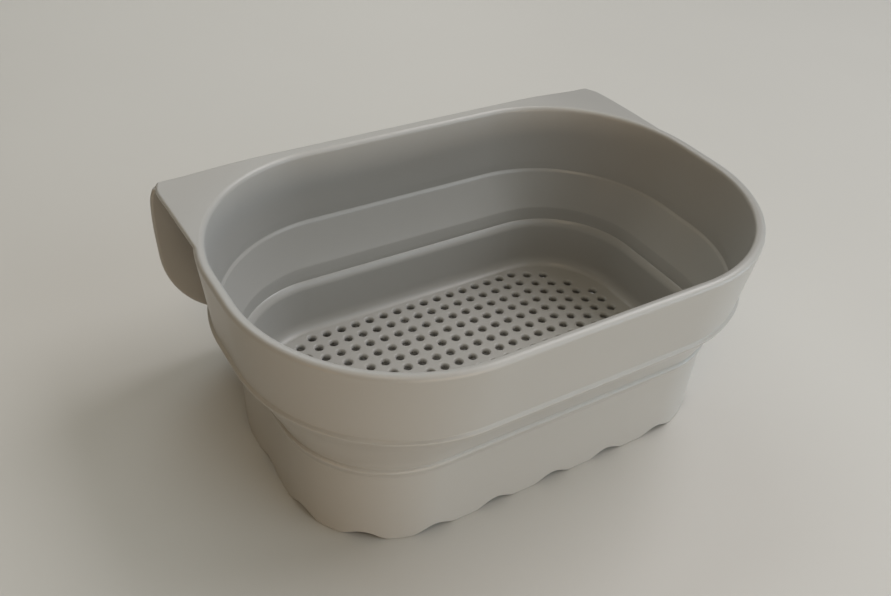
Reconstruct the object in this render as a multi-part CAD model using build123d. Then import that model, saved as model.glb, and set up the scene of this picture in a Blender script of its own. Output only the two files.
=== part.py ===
from build123d import *
import math
import os

# A folding sink basket with a hanging flap. X runs along the basket, Y towards the flap, Z up.
# The origin is on the table, under the middle of the basket's box. Sizes are in millimetres.

# Upper frame: rim and upper wall
height = 124.0
rim_length = 300.0
rim_width = 202.0
rim_end_straight = 23.0
rim_bead = 5.8
rim_round = 2.4
frame_edge_height = 81.0
frame_edge_wall = 3.0
frame_edge_round = 1.0
frame_draft = 5.2

# Back flange and hanging flap
flange_length = 292.0
flange_reach = 4.3
flange_thickness = 2.8
bend_inner_radius = 1.2
flap_drop = 101.0
flap_corner = 54.0

# Fold between the frame and the tub
fold_reach = 14.3
band_thickness = 2.4
hinge_thickness = 1.4
hinge_height = 3.0

# Tub: lower wall, foot skirt and the ledge that carries the floor
tub_top_height = 51.5
tub_end_straight = 46.0
tub_wall = 4.5
tub_draft = 1.5
tub_edge_round = 1.4
floor_cove = 6.0
skirt_wall = 3.0
notch_count = 20
notch_height = 4.5
foot_flat = 12.0

# Perforated floor
floor_top_height = 15.0
floor_thickness = 4.0
hole_diameter = 4.2
hole_pitch = 9.7
straight_columns = 16
hole_field_side_margin = 1.0
hole_field_end_margin = 5.0
hole_field_end_straight = 30.0

# Plan of the frame and of the tub: the centres of their corner arcs are shared by each piece's sections
rim_corner = (rim_width - rim_end_straight) / 2
frame_centre = (rim_length / 2 - rim_corner, rim_end_straight / 2)
frame_edge_radius = rim_corner - frame_draft
tub_width = rim_width - 2 * (frame_draft + fold_reach)
tub_length = rim_length - 2 * (frame_draft + fold_reach)
tub_corner = (tub_width - tub_end_straight) / 2
tub_centre = (tub_length / 2 - tub_corner, tub_end_straight / 2)

# The box of the whole object reaches from the front of the rim to the back of the flap
flap_back = rim_width / 2 + flange_reach
box_shift = (rim_width / 2 - flap_back) / 2
bend_radius = bend_inner_radius + flange_thickness
bend_line = flap_back - bend_radius
underside = floor_top_height - floor_thickness


def rounded(centre, radius, level):
    """A rounded rectangle at a level: corner arcs of this radius about the centres of the four corners."""
    plan = RectangleRounded(2 * (centre[0] + radius), 2 * (centre[1] + radius), radius)
    return Pos(0, 0, level) * plan


def ring(section, centre):
    """Carries a section, drawn outwards from a corner's centre, round the rounded rectangle."""
    pieces = []
    quarter = revolve(section, Axis.Z, revolution_arc=90)
    for turn, (side_x, side_y) in enumerate(((1, 1), (-1, 1), (-1, -1), (1, -1))):
        corner = Pos(side_x * centre[0], side_y * centre[1]) * Rot(0, 0, 90 * turn)
        pieces.append(corner * quarter)
        out, run = (centre[0], centre[1]) if turn % 2 == 0 else (centre[1], centre[0])
        bar = extrude(section, amount=2 * run, dir=(0, 1, 0))
        pieces.append(Rot(0, 0, 90 * turn) * Pos(out, -run) * bar)
    return pieces[0].fuse(*pieces[1:])


def section(corners, rounds):
    """A wall's section in the XZ plane, with a fillet at each named corner."""
    outline = Plane.XZ * make_face(Polyline(*corners, close=True))
    for index, radius in rounds.items():
        x, z = corners[index]
        place = Vector(x, 0, z)
        vertex = min(outline.vertices(), key=lambda v: (Vector(*tuple(v)) - place).length)
        outline = fillet(vertex, radius)
    return outline


def frame_section():
    """Upper wall with its rounded rim; the wall thins towards its lower edge."""
    rim_inner = rim_corner - rim_bead
    edge_inner = frame_edge_radius - frame_edge_wall
    corners = [
        (frame_edge_radius, frame_edge_height),
        (rim_corner, height),
        (rim_inner, height),
        (edge_inner, frame_edge_height),
    ]
    crest_round = min(rim_round, 0.45 * rim_bead)
    edge_round = min(frame_edge_round, 0.45 * frame_edge_wall)
    return section(corners, {0: edge_round, 1: crest_round, 2: crest_round, 3: edge_round})


def flange_plate():
    """The flat shelf behind the rim, from the rim's crest to the bend, starting on the rim's outline."""
    beside = flange_length / 2 - frame_centre[0]
    front = frame_centre[1] + math.sqrt(max(rim_corner**2 - beside**2, 0))
    level = height - flange_thickness
    plan = Rectangle(flange_length, bend_line - front, align=(Align.CENTER, Align.MIN))
    plate = extrude(Pos(0, front, level) * plan, flange_thickness)
    crest = extrude(rounded(frame_centre, rim_corner - rim_bead / 2, level), flange_thickness)
    return (plate - crest).solid()


def upper_frame(flange):
    return ring(frame_section(), frame_centre) - flange


def hook_bend():
    """The quarter turn from the shelf down into the flap."""
    quarter = Rectangle(bend_radius, bend_radius, align=(Align.MIN, Align.MIN))
    turn = (Circle(bend_radius) - Circle(bend_inner_radius)) & quarter
    place = Plane(origin=(0, bend_line, height - bend_radius), x_dir=(0, 1, 0), z_dir=(1, 0, 0))
    return extrude(place * turn, flange_length / 2, both=True)


def hook_plate():
    """The hanging flap, with large round lower corners."""
    drop = flap_drop - bend_radius
    round_corner = min(flap_corner, 0.98 * drop)
    sheet = Pos(0, 0, -drop / 2) * Rot(90, 0, 0) * Box(flange_length, drop, flange_thickness)
    low = sheet.edges().filter_by(Axis.Y).sort_by(Axis.Z)[:2]
    sheet = fillet(low, round_corner)
    return Pos(0, flap_back - flange_thickness / 2, height - bend_radius) * sheet


def fold_plan(level):
    """Middle surface of the fold at a level, on its way from the frame's edge to the tub's."""
    share = (frame_edge_height - level) / (frame_edge_height - tub_top_height)
    top_radius = frame_edge_radius - frame_edge_wall / 2
    low_radius = tub_corner - tub_wall / 2
    centre_x = frame_centre[0] + share * (tub_centre[0] - frame_centre[0])
    centre_y = frame_centre[1] + share * (tub_centre[1] - frame_centre[1])
    return (centre_x, centre_y), top_radius + share * (low_radius - top_radius)


def fold_piece(top, low, thickness):
    """A slanted skirt of the fold between two levels."""
    shells = []
    for side in (thickness / 2, -thickness / 2):
        rings = []
        for level in (top, low):
            centre, radius = fold_plan(level)
            rings.append(rounded(centre, radius + side, level))
        shells.append(loft(rings, ruled=True))
    return shells[0] - shells[1]


def tub_section():
    """Lower wall, with the cove and ledge that carry the floor, and the thinner foot skirt."""
    foot = tub_corner - tub_draft
    inner = tub_corner - tub_wall
    ledge = inner - floor_cove
    corners = [
        (foot, 0),
        (tub_corner, tub_top_height),
        (inner, tub_top_height),
        (inner, floor_top_height),
        (ledge, floor_top_height),
        (ledge, underside),
        (foot - skirt_wall, underside),
        (foot - skirt_wall, 0),
    ]
    edge_round = min(tub_edge_round, 0.45 * tub_wall)
    wall = section(corners, {1: edge_round, 2: edge_round})
    square = Rectangle(floor_cove, floor_cove, align=(Align.MIN, Align.MIN))
    cove = Pos(ledge, floor_top_height) * (square - Pos(0, floor_cove) * Circle(floor_cove))
    return wall + Plane.XZ * cove


def lower_tub():
    """The tub's wall with arched notches cut along the foot of its skirt."""
    tub = ring(tub_section(), tub_centre)
    path = rounded(tub_centre, tub_corner - tub_draft - skirt_wall / 2, 0).face().outer_wire()
    spacing = path.length / notch_count
    half_chord = (spacing - foot_flat) / 2
    arch_radius = (half_chord**2 + notch_height**2) / (2 * notch_height)
    start = path.param_at_point(Vector(0, -tub_width / 2 + tub_draft + skirt_wall / 2, 0))
    arches = []
    for step in range(notch_count):
        along = (start + step / notch_count) % 1
        here = path.position_at(along)
        tangent = path.tangent_at(along)
        outwards = Vector(tangent.Y, -tangent.X, 0)
        place = Plane(origin=here + Vector(0, 0, notch_height - arch_radius), x_dir=tangent, z_dir=outwards)
        arches.append(place.location * Cylinder(arch_radius, 4 * skirt_wall))
    return tub - arches


def hole_places(half_x, half_y):
    """Square rows along the straight sides, then columns staggered by half a step out to each end."""
    corner = half_y - hole_field_end_straight / 2
    centre = (half_x - corner, half_y - corner)
    places = []
    columns = math.ceil(half_x / hole_pitch)
    rows = math.ceil(half_y / hole_pitch)
    for column in range(columns):
        x = (column + 0.5) * hole_pitch
        outside = column + 1 - straight_columns / 2
        stagger = 0.5 if outside > 0 and outside % 2 == 1 else 0.0
        for row in range(-rows, rows + 1):
            y = (row + stagger) * hole_pitch
            over_x = max(x - centre[0], 0)
            over_y = max(abs(y) - centre[1], 0)
            if math.hypot(over_x, over_y) <= corner:
                places += [(x, y), (-x, y)]
    return places


def strainer_floor():
    """The perforated plate that lies inside the tub's ledge."""
    radius = tub_corner - tub_wall - floor_cove
    plate = rounded(tub_centre, radius, underside)
    half_x = tub_centre[0] + radius - hole_field_end_margin
    half_y = tub_centre[1] + radius - hole_field_side_margin
    holes = [Pos(x, y, underside) * Circle(hole_diameter / 2) for x, y in hole_places(half_x, half_y)]
    print("holes", len(holes))
    return extrude(plate - holes, floor_thickness)


back_flange = flange_plate()
band_top = frame_edge_height - hinge_height
band_low = tub_top_height + hinge_height
pieces = {
    "upper_frame": upper_frame(back_flange),
    "back_flange": back_flange,
    "hook_bend": hook_bend(),
    "hook_plate": hook_plate(),
    "upper_hinge": fold_piece(frame_edge_height, band_top, hinge_thickness),
    "fold_band": fold_piece(band_top, band_low, band_thickness),
    "lower_hinge": fold_piece(band_low, tub_top_height, hinge_thickness),
    "lower_tub": lower_tub(),
    "strainer_floor": strainer_floor(),
}

os.makedirs("parts", exist_ok=True)
for name, piece in pieces.items():
    export_step(Pos(0, box_shift, 0) * piece, f"parts/{name}.step")
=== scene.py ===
import math

import bpy
from mathutils import Matrix, Vector
from mathutils.geometry import delaunay_2d_cdt


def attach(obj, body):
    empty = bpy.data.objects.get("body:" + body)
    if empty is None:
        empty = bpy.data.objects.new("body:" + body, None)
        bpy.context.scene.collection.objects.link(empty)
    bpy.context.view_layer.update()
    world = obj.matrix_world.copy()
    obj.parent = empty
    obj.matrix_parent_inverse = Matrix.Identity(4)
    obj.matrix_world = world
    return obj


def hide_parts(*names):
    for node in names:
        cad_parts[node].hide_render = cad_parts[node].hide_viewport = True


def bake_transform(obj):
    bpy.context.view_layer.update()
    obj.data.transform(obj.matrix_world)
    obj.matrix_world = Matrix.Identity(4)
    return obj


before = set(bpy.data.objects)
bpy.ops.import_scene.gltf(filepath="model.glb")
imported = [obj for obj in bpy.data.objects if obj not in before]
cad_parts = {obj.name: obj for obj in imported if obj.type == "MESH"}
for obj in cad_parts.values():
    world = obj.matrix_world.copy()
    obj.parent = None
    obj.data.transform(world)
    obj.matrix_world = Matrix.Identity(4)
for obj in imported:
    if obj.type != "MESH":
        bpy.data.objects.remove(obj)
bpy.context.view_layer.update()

# A folding sink basket with a hanging flap. Sizes are in millimetres until a mesh is made, angles in degrees.
# X runs along the basket, Y towards the flap, Z up. The plan's own middle lies in front of the box's middle.
MM = 0.001
PLAN_SHIFT = -2.15

# Plans of the upper frame and of the tub: the corner arcs' centre; walls are radii about it
FRAME_CENTRE = (60.5, 11.5)
TUB_CENTRE = (72.0, 23.0)

# Upper wall: a full round rim, and an inner face that is upright for a little way above the lower edge
RIM_RADIUS = 89.5
RIM_BEAD = 5.8
RIM_ROUND = 2.75
RIM_HEIGHT = 124.0
EDGE_RADIUS = 84.3
EDGE_WALL = 3.0
EDGE_HEIGHT = 81.0
EDGE_ROUND = 0.8
UPRIGHT_HEIGHT = 6.0
UPRIGHT_ROUND = 4.0

# Lip along the lower edge of the upper wall; its underside reaches out by a share of the lip
LIP_REACH = 1.85
LIP_LOW = 79.2
LIP_LOW_SHARE = 0.5
LIP_LOW_ROUND = 1.2
LIP_HIGH = 81.9
LIP_HIGH_ROUND = 0.8
LIP_ROOT = 83.3
LIP_ROOT_ROUND = 0.6

# Fold: (distance outwards from its middle surface, height), down the outer face and up the inner one
FOLD_OUTER = [
    (0.5, 82.6), (1.2, 81.0), (1.9, 80.0), (2.15, 79.2), (2.1, 78.2), (1.95, 77.0), (1.75, 75.6),
    (1.55, 74.0), (1.4, 72.0), (1.3, 69.0), (1.3, 66.0), (1.3, 63.0), (1.3, 60.5), (1.29, 59.0),
    (1.26, 57.8), (1.2, 56.6), (1.16, 55.5), (1.15, 54.5), (1.2, 53.6), (1.3, 52.8), (1.42, 52.0),
    (1.5, 51.2), (1.5, 50.0),
]
FOLD_INNER = [
    (0.7, 48.8), (0.7, 50.2), (0.72, 51.0), (0.74, 51.5), (0.36, 52.5), (-0.03, 53.5), (-0.42, 54.5),
    (-0.78, 55.5), (-1.07, 56.4), (-1.2, 56.8), (-1.33, 57.2), (-1.44, 57.6), (-1.51, 58.0), (-1.53, 58.4),
    (-1.53, 59.2), (-1.53, 60.5), (-1.55, 62.0), (-1.62, 64.0), (-1.75, 66.5), (-1.9, 69.0), (-2.05, 71.5),
    (-2.22, 74.0), (-2.38, 76.5), (-2.5, 78.2), (-2.6, 79.4), (-2.66, 80.2), (-2.63, 80.6), (-2.5, 81.0),
    (-2.23, 81.3), (-1.95, 81.6), (-1.71, 81.9), (-1.55, 82.2), (-1.46, 82.5), (-1.4, 83.0), (-1.2, 84.2),
    (-0.6, 84.4),
]

# Tub: its outer wall leans out by a little up to half height
TUB_RADIUS = 58.5
TUB_WALL = 4.5
TUB_TOP = 51.5
TUB_DRAFT = 1.5
TUB_LEAN = 0.2
SKIRT_WALL = 3.0
SKIRT_ROUND = 0.9
SKIRT_ROOT_ROUND = 1.5
FLOOR_TOP = 15.0
FLOOR_LOW = 11.0
FLOOR_RADIUS = 49.0
COVE_RUN = 11.4
COVE_STEPS = 16

# Top of the tub as (radius, height): up the inner face to a rounded shoulder, then over a bead on the outside
TUB_SHOULDER = [
    (54.0, 30.0), (54.0, 36.0), (54.0, 42.0), (54.0, 44.0), (54.03, 44.5), (54.12, 45.05), (54.3, 45.65),
    (54.57, 46.25), (54.92, 46.85), (55.32, 47.45), (55.75, 48.0), (56.2, 48.5), (56.65, 48.92),
    (57.1, 49.25), (57.6, 49.5),
]
TUB_CROWN = [
    (57.4, 52.5), (57.65, 52.35), (57.9, 52.15), (58.15, 51.91), (58.4, 51.64), (58.63, 51.34),
    (58.82, 51.01), (58.95, 50.66), (59.0, 50.3), (58.97, 49.92), (58.87, 49.5), (58.7, 49.05),
    (58.48, 48.55), (58.24, 48.0), (58.0, 47.4), (57.8, 46.7), (57.62, 45.7), (57.5, 44.3), (57.42, 42.0),
]

# Waves in the foot skirt, which fade out a little below the floor
NOTCH_COUNT = 20
NOTCH_HEIGHT = 4.4
NOTCH_SHARE = 0.68
NOTCH_FULLNESS = 0.8
NOTCH_CLEARANCE = 1.0

# Drain holes: their field, and one hole's (radius, height) from its rounded mouth through the throat to the underside
HOLE_PITCH = 9.7
STRAIGHT_COLUMNS = 16
FIELD_RADIUS = 47.0
FIELD_END_MARGIN = 4.0
FIELD_END_STRAIGHT = 30.0
HOLE_SEGMENTS = 24
HOLE_PROFILE = [
    (3.7, 15.0), (3.45, 14.97), (3.2, 14.88), (2.95, 14.71), (2.72, 14.45), (2.53, 14.1), (2.4, 13.75),
    (2.34, 13.4), (2.38, 13.0), (2.55, 12.4), (2.75, 11.7), (2.9, 11.2), (3.0, 11.0),
]

# Back flange and flap
SHEET = 2.8
FLAP_HALF = 146.0
FLAP_BACK = 105.3
FLAP_LOW = 23.0
FLAP_CORNER = 54.0
BEND_RADIUS = 4.0
TOP_SINK = 0.02

# The flange's two free corners are drawn in and sag; below them the flap's edges bow out
EDGE_RUN = 40.0
CORNER_INSET = 3.6
CORNER_RUN = 7.0
CORNER_SAG = 2.2
SAG_RUN = 60.0
BOW_REACH = 1.4
BOW_PLACE = 24.0
BOW_RUN = 22.0

# Mesh steps: round plans have theirs for a corner arc, a long side and a short side
WALL_STEPS = (44, 30, 8)
TUB_STEPS = (130, 180, 56)
FLOOR_STEPS = (24, 24, 8)
FLAP_ARC_STEPS = 24
FLAP_MIDDLE_STEPS = 60
FLANGE_ROWS = 14
BEND_ROWS = 10
FLAP_ROWS = 36
EDGE_STEPS = 8
SHARP_ANGLE = 40.0

# Fillets: steps, the distance of a support point, and how much of a side a fillet or its support may take
FILLET_STEPS = 8
SUPPORT = 0.5
FILLET_SHARE = 0.48
SUPPORT_ROOM = 3

# Triangulation of the floor: faces inside its outline only, and the distance at which points are one
INSIDE_FACES = 1
SAME_POINT = 1e-6

# Colours
SILICONE_DARK = (0.416, 0.409, 0.386, 1)
SILICONE_LIGHT = (0.424, 0.418, 0.395, 1)
TABLE_DARK = (0.575, 0.563, 0.525, 1)
TABLE_LIGHT = (0.597, 0.585, 0.547, 1)
GLOW_COLOUR = (1.0, 0.94, 0.86, 1)
GLOW_STRENGTH = 0.02
BACKDROP_COLOUR = (0.50, 0.49, 0.455, 1)

# Table and lamps, in metres; every lamp faces a point above the table's middle
TABLE_HALF = 1.1
LAMP_DISTANCE = 2.2
LAMP_TARGET = 0.05
LOW_LAMP = (1.8, 0.3)
HIGH_LAMP = (1.6, 1.0)
SMALL_LAMP = (0.6, 0.5)
TOP_LAMP = (3.4, 3.4)

# Cool window light from the right, front and back, and weaker warm light of the room from the other sides:
# name, azimuth from +X, elevation, width and height, watts, colour
LAMPS = [
    ("window_right", 0, 54, HIGH_LAMP, 23.5, (0.97, 0.96, 1.0)),
    ("window_front", 302, 34, HIGH_LAMP, 9.5, (0.81, 0.92, 1.0)),
    ("window_front_low", 315, 4, LOW_LAMP, 11.0, (0.58, 0.80, 1.0)),
    ("window_back", 90, 50, HIGH_LAMP, 9.0, (0.88, 0.96, 1.0)),
    ("window_back_low", 72, 20, HIGH_LAMP, 3.5, (1.0, 0.97, 0.92)),
    ("room_front", 270, 4, LOW_LAMP, 15.5, (1.0, 0.83, 0.65)),
    ("room_front_high", 232, 56, SMALL_LAMP, 3.2, (1.0, 0.78, 0.55)),
    ("room_left", 200, 8, SMALL_LAMP, 2.6, (1.0, 0.62, 0.30)),
    ("room_back_left", 135, 25, HIGH_LAMP, 1.6, (1.0, 0.73, 0.31)),
    ("room_top", 0, 90, TOP_LAMP, 13.0, (1.0, 0.92, 0.74)),
]

# Photographed view
EYE = (-246.97, -330.31, 380.58)
AZIMUTH = -34.127
ELEVATION = 37.544
ROLL = -4.673
LENS = 37.694
SENSOR_WIDTH = 36


def link(name, data):
    """A new object in the scene's own collection."""
    obj = bpy.data.objects.new(name, data)
    bpy.context.scene.collection.objects.link(obj)
    return obj


def make_object(name, points, faces):
    """A mesh object from points in millimetres of the plan, smooth but for its sharp edges."""
    mesh = bpy.data.meshes.new(name)
    mesh.from_pydata([(x * MM, (y + PLAN_SHIFT) * MM, z * MM) for x, y, z in points], [], faces)
    mesh.validate()
    mesh.polygons.foreach_set("use_smooth", [True] * len(mesh.polygons))
    mesh.set_sharp_from_angle(angle=math.radians(SHARP_ANGLE))
    return link(name, mesh)


def smooth(share):
    """A share from 0 to 1 with a soft start and a soft end."""
    return share * share * (3 - 2 * share)


def rounded_line(corners, closed=True):
    """A polyline with a fillet at each corner (r, z, radius) and a support point beside each fillet."""
    out = []
    count = len(corners)
    for i, (r, z, radius) in enumerate(corners):
        here = Vector((r, z))
        if radius <= 0 or (not closed and i in (0, count - 1)):
            out.append((r, z))
            continue
        before = Vector(corners[i - 1][:2]) - here
        after = Vector(corners[(i + 1) % count][:2]) - here
        a = before.normalized()
        b = after.normalized()
        half = a.angle(b) / 2
        reach = min(radius / math.tan(half), FILLET_SHARE * before.length, FILLET_SHARE * after.length)
        radius = reach * math.tan(half)
        middle = here + (a + b).normalized() * (radius / math.sin(half))
        first = here + a * reach - middle
        last = here + b * reach - middle
        sweep = first.angle_signed(last)
        room = SUPPORT_ROOM * reach + SUPPORT
        if before.length > room:
            out.append(tuple(here + a * (reach + SUPPORT)))
        for k in range(FILLET_STEPS + 1):
            angle = -sweep * k / FILLET_STEPS
            c = math.cos(angle)
            s = math.sin(angle)
            out.append((middle.x + first.x * c - first.y * s, middle.y + first.x * s + first.y * c))
        if after.length > room:
            out.append(tuple(here + b * (reach + SUPPORT)))
    return out


def stations(arc_steps, long_steps, short_steps):
    """Places round a rounded rectangle: shares of the corner centre and the outward direction."""
    out = []
    corners = ((1, 1), (-1, 1), (-1, -1), (1, -1))
    for quarter, (sx, sy) in enumerate(corners):
        for k in range(arc_steps):
            angle = math.radians(90 * (quarter + k / arc_steps))
            out.append((sx, sy, math.cos(angle), math.sin(angle)))
        ex, ey = corners[(quarter + 1) % 4]
        angle = math.radians(90 * (quarter + 1))
        steps = long_steps if quarter % 2 == 0 else short_steps
        for k in range(steps):
            t = k / steps
            out.append((sx + t * (ex - sx), sy + t * (ey - sy), math.cos(angle), math.sin(angle)))
    return out


def place(station, centre, radius):
    """The plan's point at a station, at a radius about the corner centre."""
    fx, fy, nx, ny = station
    return fx * centre[0] + radius * nx, fy * centre[1] + radius * ny


def ring(name, rows, around, lift=None):
    """Carries a closed profile of (centre, radius, z) rows round the rounded rectangle."""
    points = []
    for index, station in enumerate(around):
        for centre, radius, z in rows:
            x, y = place(station, centre, radius)
            points.append((x, y, z if lift is None else lift(index, z)))
    n = len(rows)
    total = len(around)
    faces = []
    for i in range(total):
        j = (i + 1) % total
        for k in range(n):
            m = (k + 1) % n
            faces.append((i * n + k, i * n + m, j * n + m, j * n + k))
    return make_object(name, points, faces)


def upper_wall():
    """Upper wall with its full round rim, and a soft lip along its lower edge."""
    slope = (RIM_RADIUS - EDGE_RADIUS) / (RIM_HEIGHT - EDGE_HEIGHT)
    edge_inner = EDGE_RADIUS - EDGE_WALL
    rim_inner = RIM_RADIUS - RIM_BEAD
    profile = rounded_line([
        (edge_inner, EDGE_HEIGHT, EDGE_ROUND),
        (edge_inner, EDGE_HEIGHT + UPRIGHT_HEIGHT, UPRIGHT_ROUND),
        (rim_inner, RIM_HEIGHT, RIM_ROUND),
        (RIM_RADIUS, RIM_HEIGHT, RIM_ROUND),
        (EDGE_RADIUS + slope * (LIP_ROOT - EDGE_HEIGHT), LIP_ROOT, LIP_ROOT_ROUND),
        (EDGE_RADIUS + LIP_REACH, LIP_HIGH, LIP_HIGH_ROUND),
        (EDGE_RADIUS + LIP_REACH * LIP_LOW_SHARE, LIP_LOW, LIP_LOW_ROUND),
    ])
    rows = [(FRAME_CENTRE, r, z) for r, z in profile]
    return ring("upper_wall", rows, stations(*WALL_STEPS))


def fold_row(offset, z):
    """A row of the fold: its distance from the fold's middle surface, on the way from frame to tub."""
    share = min(max((EDGE_HEIGHT - z) / (EDGE_HEIGHT - TUB_TOP), 0), 1)
    top = EDGE_RADIUS - EDGE_WALL / 2
    low = TUB_RADIUS - TUB_WALL / 2
    centre = tuple(a + share * (b - a) for a, b in zip(FRAME_CENTRE, TUB_CENTRE))
    return centre, top + share * (low - top) + offset, z


def fold_skirt():
    """The soft fold: a sloping band whose ends run into the upper wall and into the tub's top."""
    rows = [fold_row(offset, z) for offset, z in FOLD_OUTER + FOLD_INNER]
    return ring("fold_skirt", rows, stations(*WALL_STEPS))


def tub_wall():
    """Lower wall with a rounded shoulder inside, a cove down to the floor and a wavy foot skirt."""
    foot = TUB_RADIUS - TUB_DRAFT
    lower = rounded_line([
        (foot + TUB_LEAN, TUB_TOP / 2, 0),
        (foot, 0, SKIRT_ROUND),
        (foot - SKIRT_WALL, 0, SKIRT_ROUND),
        (foot - SKIRT_WALL, FLOOR_LOW, SKIRT_ROOT_ROUND),
        (FLOOR_RADIUS, FLOOR_LOW, 0),
    ], closed=False)
    cove = [(FLOOR_RADIUS, FLOOR_TOP)]
    step = COVE_RUN / COVE_STEPS
    for k in range(COVE_STEPS):
        t = (k + 0.5) / COVE_STEPS
        tilt = math.pi / 2 * (2 * t - t * t)
        cove.append((cove[-1][0] + step * math.cos(tilt), cove[-1][1] + step * math.sin(tilt)))
    rows = [(TUB_CENTRE, r, z) for r, z in lower + cove + TUB_SHOULDER + TUB_CROWN]

    # The waves are spaced along the foot, from the middle of the front
    around = stations(*TUB_STEPS)
    path = [place(s, TUB_CENTRE, foot) for s in around]
    lengths = [0.0]
    for a, b in zip(path, path[1:] + path[:1]):
        lengths.append(lengths[-1] + math.dist(a, b))
    front = min((i for i, point in enumerate(path) if point[1] < 0), key=lambda i: abs(path[i][0]))

    def lift(index, z):
        t = (lengths[index] - lengths[front]) / lengths[-1] * NOTCH_COUNT
        t = 2 * (t - round(t)) / NOTCH_SHARE
        wave = (0.5 + 0.5 * math.cos(math.pi * t)) ** NOTCH_FULLNESS if abs(t) < 1 else 0.0
        share = max(1 - z / (FLOOR_LOW - NOTCH_CLEARANCE), 0)
        return z + NOTCH_HEIGHT * wave * share

    return ring("tub_wall", rows, around, lift)


def hole_places():
    """Square rows along the straight sides, then columns staggered by half a step out to each end."""
    half_x = TUB_CENTRE[0] + FIELD_RADIUS - FIELD_END_MARGIN
    half_y = TUB_CENTRE[1] + FIELD_RADIUS
    corner = half_y - FIELD_END_STRAIGHT / 2
    centre = (half_x - corner, half_y - corner)
    places = []
    rows = math.ceil(half_y / HOLE_PITCH)
    for column in range(math.ceil(half_x / HOLE_PITCH)):
        x = (column + 0.5) * HOLE_PITCH
        outside = column + 1 - STRAIGHT_COLUMNS / 2
        stagger = 0.5 if outside > 0 and outside % 2 == 1 else 0.0
        for row in range(-rows, rows + 1):
            y = (row + stagger) * HOLE_PITCH
            if math.hypot(max(x - centre[0], 0), max(abs(y) - centre[1], 0)) <= corner:
                places += [(x, y), (-x, y)]
    return places


def drain_floor():
    """The perforated floor; each hole has a rounded mouth and widens again below its throat."""
    outline = [place(s, TUB_CENTRE, FLOOR_RADIUS) for s in stations(*FLOOR_STEPS)]
    holes = hole_places()
    turns = [2 * math.pi * k / HOLE_SEGMENTS for k in range(HOLE_SEGMENTS)]
    circle = [(math.cos(turn), math.sin(turn)) for turn in turns]
    mouth_radius = HOLE_PROFILE[0][0]

    # The sheet between the outline and the mouths, as triangles; those inside one mouth are left out
    flat = list(outline)
    owner = [-1] * len(outline)
    edges = [(i, (i + 1) % len(outline)) for i in range(len(outline))]
    for index, (x, y) in enumerate(holes):
        start = len(flat)
        flat += [(x + mouth_radius * c, y + mouth_radius * s) for c, s in circle]
        owner += [index] * HOLE_SEGMENTS
        edges += [(start + k, start + (k + 1) % HOLE_SEGMENTS) for k in range(HOLE_SEGMENTS)]
    result = delaunay_2d_cdt([Vector(p) for p in flat], edges, [], INSIDE_FACES, SAME_POINT)
    origin = [o[0] for o in result[3]]
    sheet = []
    for face in result[2]:
        face = [origin[v] for v in face]
        owners = {owner[v] for v in face}
        if len(owners) > 1 or owners == {-1}:
            sheet.append(face)

    # The outer edge, then the holes' walls level by level
    points = [(x, y, FLOOR_TOP) for x, y in outline] + [(x, y, FLOOR_LOW) for x, y in outline]
    edge = len(outline)
    faces = [(i, i + edge, (i + 1) % edge + edge, (i + 1) % edge) for i in range(edge)]
    base = len(points)
    depth = len(HOLE_PROFILE)
    for x, y in holes:
        for r, z in HOLE_PROFILE:
            points += [(x + r * c, y + r * s, z) for c, s in circle]
    for index in range(len(holes)):
        first = base + index * depth * HOLE_SEGMENTS
        for level in range(depth - 1):
            a = first + level * HOLE_SEGMENTS
            b = a + HOLE_SEGMENTS
            for k in range(HOLE_SEGMENTS):
                m = (k + 1) % HOLE_SEGMENTS
                faces.append((a + k, a + m, b + m, b + k))

    def lookup(v, low):
        """The sheet's vertex among the points, on the top or on the underside."""
        if owner[v] < 0:
            return v + (edge if low else 0)
        k = (v - edge) % HOLE_SEGMENTS
        level = depth - 1 if low else 0
        return base + (owner[v] * depth + level) * HOLE_SEGMENTS + k

    for face in sheet:
        faces.append([lookup(v, False) for v in face])
        faces.append([lookup(v, True) for v in reversed(face)])
    return make_object("drain_floor", points, faces)


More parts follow.
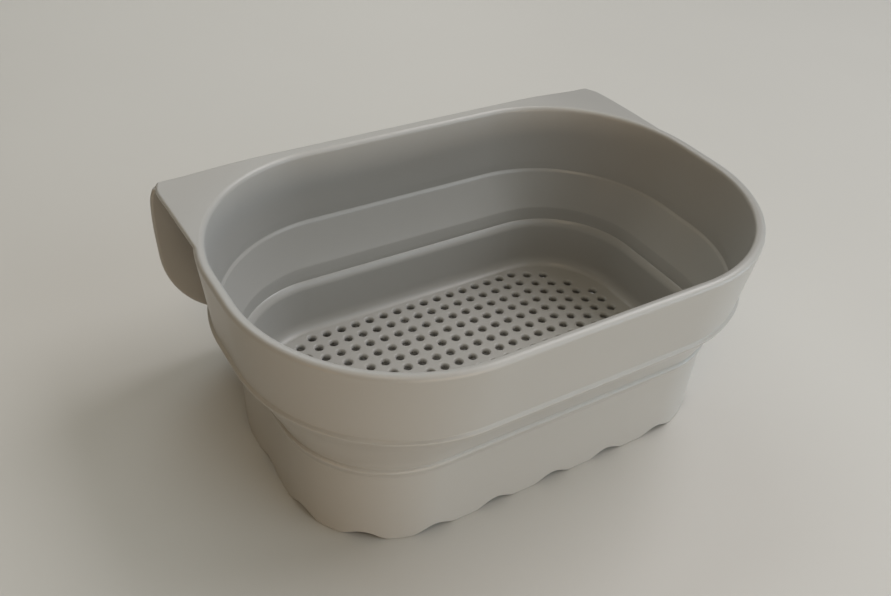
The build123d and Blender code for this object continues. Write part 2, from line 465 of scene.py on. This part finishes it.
def flap_sheet():
    """Flange, bend and hanging flap in one sheet with a full round edge."""
    half_sheet = SHEET / 2
    side = FLAP_HALF - half_sheet
    corner = FLAP_CORNER - half_sheet
    low = FLAP_LOW + half_sheet
    inner = side - corner
    bend_y = FLAP_BACK - BEND_RADIUS
    bend_z = RIM_HEIGHT - BEND_RADIUS
    crest = RIM_RADIUS - RIM_BEAD / 2

    # Columns across the sheet, each with the height of its lower end
    columns = []
    for k in range(FLAP_ARC_STEPS):
        angle = math.pi / 2 * k / FLAP_ARC_STEPS
        columns.append((-side + corner * (1 - math.cos(angle)), low + corner * (1 - math.sin(angle))))
    for k in range(FLAP_MIDDLE_STEPS + 1):
        columns.append((-inner + 2 * inner * k / FLAP_MIDDLE_STEPS, low))
    columns += [(-x, z) for x, z in reversed(columns[:FLAP_ARC_STEPS])]

    def bowed(x, y, z, angle):
        """The edge's plan at a point: inset round the bend's corner and bowed out a little below it."""
        along = y - bend_y if angle == 0 else BEND_RADIUS * angle
        along += bend_z - z if angle == math.pi / 2 else 0
        along -= BEND_RADIUS * math.pi / 4
        shift = BOW_REACH * math.exp(-((along - BOW_PLACE) / BOW_RUN) ** 2)
        shift -= CORNER_INSET * math.exp(-(along / CORNER_RUN) ** 2)
        share = min(max((abs(x) - side + EDGE_RUN) / EDGE_RUN, 0), 1)
        return x + math.copysign(1, x) * smooth(share) * shift

    # Each column's path from the rim over the bend to the flap's end, with the sheet's tilt at every point
    paths = []
    for x, z_low in columns:
        beyond = max(abs(x) - FRAME_CENTRE[0], 0)
        y0 = FRAME_CENTRE[1] + math.sqrt(crest ** 2 - beyond ** 2)
        sag = CORNER_SAG * smooth(max((abs(x) - side + SAG_RUN) / SAG_RUN, 0))
        path = []
        for k in range(FLANGE_ROWS):
            t = math.sin(math.pi / 2 * k / FLANGE_ROWS)
            path.append((y0 + (bend_y - y0) * t, RIM_HEIGHT - TOP_SINK - sag * t * t, 0.0))
        for k in range(BEND_ROWS):
            angle = math.pi / 2 * k / BEND_ROWS
            z = bend_z + BEND_RADIUS * math.cos(angle) - sag
            path.append((bend_y + BEND_RADIUS * math.sin(angle), z, angle))
        for k in range(FLAP_ROWS + 1):
            t = 1 - math.cos(math.pi / 2 * k / FLAP_ROWS)
            path.append((FLAP_BACK, bend_z - sag + (z_low - bend_z + sag) * t, math.pi / 2))
        paths.append([(bowed(x, y, z, angle), y, z, angle) for y, z, angle in path])

    count = len(paths)
    length = len(paths[0])
    points = []
    for deep in (0.0, SHEET):
        for path in paths:
            for x, y, z, angle in path:
                points.append((x, y - deep * math.sin(angle), z - deep * math.cos(angle)))
    offset = count * length
    faces = []
    for i in range(count - 1):
        for k in range(length - 1):
            a = i * length + k
            b = a + length
            faces.append((a, a + 1, b + 1, b))
            faces.append((a + offset, b + offset, b + 1 + offset, a + 1 + offset))

    # The free edge runs down the first column, along the bottom and up the last column
    border = [(0, k) for k in range(length - 1)]
    border += [(i, length - 1) for i in range(count)]
    border += [(count - 1, k) for k in range(length - 2, -1, -1)]
    strips = []
    for i, k in border:
        x, y, z, angle = paths[i][k]
        normal = Vector((0, math.sin(angle), math.cos(angle)))
        along = Vector((0, math.cos(angle), -math.sin(angle)))
        if k < length - 1:
            out = Vector((-1.0 if i == 0 else 1.0, 0, 0))
        else:
            lean = max(abs(x) - inner, 0) / corner
            out = Vector((math.copysign(lean, x), 0, 0)) + along * math.sqrt(max(1 - lean * lean, 0))
        centre = Vector((x, y, z)) - normal * half_sheet
        strip = [i * length + k]
        for step in range(1, EDGE_STEPS):
            turn = math.pi * step / EDGE_STEPS
            strip.append(len(points))
            points.append(tuple(centre + (normal * math.cos(turn) + out * math.sin(turn)) * half_sheet))
        strip.append(i * length + k + offset)
        strips.append(strip)
    for a, b in zip(strips, strips[1:]):
        for step in range(EDGE_STEPS):
            faces.append((a[step], a[step + 1], b[step + 1], b[step]))

    # The buried front edge closes the sheet
    for i in range(count - 1):
        a = i * length
        b = a + length
        faces.append((a, b, b + offset, a + offset))
    faces.append(strips[0])
    faces.append(list(reversed(strips[-1])))
    return make_object("flap_sheet", points, faces)


def silicone(name):
    """Moulded silicone with a soft sheen: a very faint mottle and a fine grain."""
    mat = bpy.data.materials.new(name)
    mat.use_nodes = True
    tree = mat.node_tree
    shader = tree.nodes["Principled BSDF"]
    where = tree.nodes.new("ShaderNodeTexCoord")

    def noise(scale, detail, roughness):
        node = tree.nodes.new("ShaderNodeTexNoise")
        node.inputs["Scale"].default_value = scale
        node.inputs["Detail"].default_value = detail
        node.inputs["Roughness"].default_value = roughness
        tree.links.new(where.outputs["Object"], node.inputs["Vector"])
        return node

    mottle = noise(scale=18.0, detail=4.0, roughness=0.55)
    ramp = tree.nodes.new("ShaderNodeValToRGB")
    ramp.color_ramp.elements[0].position = 0.25
    ramp.color_ramp.elements[0].color = SILICONE_DARK
    ramp.color_ramp.elements[1].position = 0.75
    ramp.color_ramp.elements[1].color = SILICONE_LIGHT
    tree.links.new(mottle.outputs["Fac"], ramp.inputs["Fac"])
    tree.links.new(ramp.outputs["Color"], shader.inputs["Base Color"])

    haze = noise(scale=45.0, detail=3.0, roughness=0.5)
    spread = tree.nodes.new("ShaderNodeMapRange")
    spread.inputs["To Min"].default_value = 0.29
    spread.inputs["To Max"].default_value = 0.31
    tree.links.new(haze.outputs["Fac"], spread.inputs["Value"])
    tree.links.new(spread.outputs["Result"], shader.inputs["Roughness"])

    grain = noise(scale=2600.0, detail=2.0, roughness=0.6)
    bump = tree.nodes.new("ShaderNodeBump")
    bump.inputs["Strength"].default_value = 0.03
    bump.inputs["Distance"].default_value = 0.0002
    tree.links.new(grain.outputs["Fac"], bump.inputs["Height"])
    tree.links.new(bump.outputs["Normal"], shader.inputs["Normal"])
    shader.inputs["Specular IOR Level"].default_value = 0.5
    return mat


def table_material():
    """Pale painted table top with a faint unevenness."""
    mat = bpy.data.materials.new("table_top")
    mat.use_nodes = True
    tree = mat.node_tree
    shader = tree.nodes["Principled BSDF"]
    where = tree.nodes.new("ShaderNodeTexCoord")
    cloud = tree.nodes.new("ShaderNodeTexNoise")
    cloud.inputs["Scale"].default_value = 6.0
    cloud.inputs["Detail"].default_value = 3.0
    ramp = tree.nodes.new("ShaderNodeValToRGB")
    ramp.color_ramp.elements[0].color = TABLE_DARK
    ramp.color_ramp.elements[1].color = TABLE_LIGHT
    tree.links.new(where.outputs["Object"], cloud.inputs["Vector"])
    tree.links.new(cloud.outputs["Fac"], ramp.inputs["Fac"])
    tree.links.new(ramp.outputs["Color"], shader.inputs["Base Color"])
    shader.inputs["Roughness"].default_value = 0.5
    return mat


def area_light(name, azimuth, elevation, size, power, colour):
    """A soft lamp that faces the basket, at an azimuth from +X and an elevation in degrees."""
    data = bpy.data.lights.new(name, "AREA")
    data.shape = "RECTANGLE"
    data.size, data.size_y = size
    data.energy = power
    data.color = colour
    obj = link(name, data)
    a = math.radians(azimuth)
    e = math.radians(elevation)
    away = Vector((math.cos(e) * math.cos(a), math.cos(e) * math.sin(a), math.sin(e)))
    obj.location = Vector((0, 0, LAMP_TARGET)) + away * LAMP_DISTANCE
    obj.rotation_mode = "QUATERNION"
    obj.rotation_quaternion = (-away).to_track_quat("-Z", "Y")


def studio_world():
    """A weak warm glow for the lighting, and a plain pale backdrop where the camera sees past the table."""
    world = bpy.data.worlds.new("studio")
    world.use_nodes = True
    tree = world.node_tree
    glow = tree.nodes["Background"]
    glow.inputs["Color"].default_value = GLOW_COLOUR
    glow.inputs["Strength"].default_value = GLOW_STRENGTH
    backdrop = tree.nodes.new("ShaderNodeBackground")
    backdrop.inputs["Color"].default_value = BACKDROP_COLOUR
    rays = tree.nodes.new("ShaderNodeLightPath")
    choice = tree.nodes.new("ShaderNodeMixShader")
    tree.links.new(rays.outputs["Is Camera Ray"], choice.inputs["Fac"])
    tree.links.new(glow.outputs["Background"], choice.inputs[1])
    tree.links.new(backdrop.outputs["Background"], choice.inputs[2])
    tree.links.new(choice.outputs["Shader"], tree.nodes["World Output"].inputs["Surface"])
    return world


def photo_camera():
    """The camera at the photograph's place, direction and roll."""
    a = math.radians(AZIMUTH)
    e = math.radians(ELEVATION)
    r = math.radians(ROLL)
    forward = Vector((-math.sin(a) * math.cos(e), math.cos(a) * math.cos(e), -math.sin(e)))
    right = Vector((math.cos(a), math.sin(a), 0))
    down = forward.cross(right)
    across = right * math.cos(r) + down * math.sin(r)
    below = down * math.cos(r) - right * math.sin(r)
    data = bpy.data.cameras.new("camera")
    data.sensor_width = SENSOR_WIDTH
    data.sensor_fit = "HORIZONTAL"
    data.lens = LENS
    camera = link("camera", data)
    turn = Matrix((across, -below, -forward)).transposed().to_4x4()
    camera.matrix_world = Matrix.Translation(Vector(EYE) * MM) @ turn
    return camera


wall = upper_wall()
fold = fold_skirt()
tub = tub_wall()
floor = drain_floor()
flap = flap_sheet()

wall_silicone = silicone("wall_silicone_satin")
for piece in (wall, fold, tub, floor, flap):
    piece.data.materials.append(wall_silicone)

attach(wall, "frame")
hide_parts("upper_frame")

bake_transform(flap)
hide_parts("back_flange", "hook_bend", "hook_plate")

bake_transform(fold)
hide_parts("upper_hinge", "fold_band", "lower_hinge")

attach(tub, "tub")
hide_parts("lower_tub")

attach(floor, "tub")
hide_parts("strainer_floor")

table_mesh = bpy.data.meshes.new("table")
table_corners = [(sx * TABLE_HALF, sy * TABLE_HALF, 0) for sx, sy in ((-1, -1), (1, -1), (1, 1), (-1, 1))]
table_mesh.from_pydata(table_corners, [], [(0, 1, 2, 3)])
table = link("table", table_mesh)
table.data.materials.append(table_material())

for lamp in LAMPS:
    area_light(*lamp)
bpy.context.scene.world = studio_world()
bpy.context.scene.camera = photo_camera()
bpy.context.scene.view_settings.view_transform = "Standard"

bpy.context.view_layer.update()
